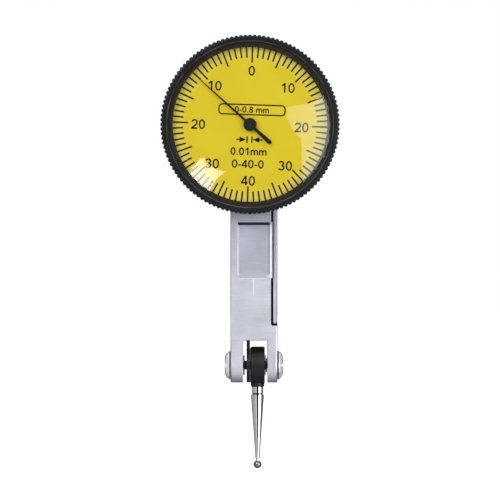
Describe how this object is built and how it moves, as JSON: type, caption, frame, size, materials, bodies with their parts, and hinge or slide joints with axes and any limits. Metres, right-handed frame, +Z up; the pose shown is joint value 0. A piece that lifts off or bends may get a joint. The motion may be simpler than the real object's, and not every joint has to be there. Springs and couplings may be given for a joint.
{
  "type": "dial test indicator",
  "caption": "Lever-type dial test indicator: round dial head with knurled turning bezel, slim body bar with a fork, swivelling stylus with a ball tip, rear dovetail rail.",
  "frame": {"origin": "on the dial's axis, at the outer face of the rear_dovetail_rail", "axes": "+Z up along the body bar towards the dial, +Y backwards out of the dovetail, dial facing -Y"},
  "size_m": [0.038, 0.0196, 0.0921],
  "materials": {
    "satin_chrome": "satin chrome plate",
    "polished_steel": "polished",
    "black_anodised": "satin black",
    "black_oxide": "black oxide",
    "clear_crystal": "clear",
    "yellow_dial": "matt enamel",
    "black_lacquer": "satin",
    "bright_steel": "bright",
    "movement_brass": "brushed",
    "spring_bronze": "bright",
    "ruby": "polished"
  },
  "bodies": {
    "case": {"body_frame": "satin_chrome", "side_cover": "satin_chrome", "side_cover_screws": "bright_steel", "pivot_screw_left": "polished_steel", "pivot_screw_right": "polished_steel", "movement_plate": "movement_brass", "movement_screws": "bright_steel", "movement_pillars": "movement_brass", "front_plate": "movement_brass", "front_plate_screws": "bright_steel", "crown_bearing_left": "movement_brass", "crown_bearing_right": "movement_brass", "crown_jewels": "ruby", "centre_cock": "movement_brass", "centre_jewel_rear": "ruby", "centre_jewel_front": "ruby", "cock_screws": "bright_steel", "hairspring": "spring_bronze", "hairspring_stud": "bright_steel", "bezel_spring_ring": "bright_steel"},
    "bezel": {"bezel": "black_anodised", "crystal": "clear_crystal", "dial": "yellow_dial", "dial_retaining_ring": "bright_steel"},
    "lever": {"lever_arm": "black_oxide", "pivot_shaft": "bright_steel", "thrust_washer": "black_oxide", "clutch_washer": "black_oxide", "clutch_nut": "black_oxide"},
    "stylus": {"stylus_holder": "black_oxide", "contact_stem": "polished_steel", "contact_ball": "polished_steel"},
    "crown": {"crown_arbor": "bright_steel", "crown_wheel": "movement_brass"},
    "pointer": {"centre_arbor": "bright_steel", "hairspring_collet": "movement_brass", "pointer_hub": "black_lacquer", "pointer": "black_lacquer"}
  },
  "joints": [
    {"name": "bezel_turn", "type": "hinge", "parent": "case", "child": "bezel", "pos_m": [0, 0, 0], "axis": [0, 1, 0], "continuous": true},
    {"name": "lever_swing", "type": "hinge", "parent": "case", "child": "lever", "pos_m": [0, -0.0083, -0.0511], "axis": [1, 0, 0], "range_deg": [-1.22, 1.22], "stiffness_Nm_per_rad": 0.2},
    {"name": "stylus_set", "type": "hinge", "parent": "lever", "child": "stylus", "pos_m": [0, -0.0083, -0.0511], "axis": [1, 0, 0], "range_deg": [-115, 115]},
    {"name": "crown_turn", "type": "hinge", "parent": "case", "child": "crown", "pos_m": [0, -0.0083, 0], "axis": [1, 0, 0], "range_deg": [-47, 47]},
    {"name": "pointer_turn", "type": "hinge", "parent": "case", "child": "pointer", "pos_m": [0, 0, 0], "axis": [0, 1, 0], "range_deg": [-203, 203], "deforming": ["hairspring"]}
  ],
  "couplings": [
    {"joint": "crown_turn", "follows": "lever_swing", "ratio": -38.308},
    {"joint": "pointer_turn", "follows": "lever_swing", "ratio": -166}
  ]
}
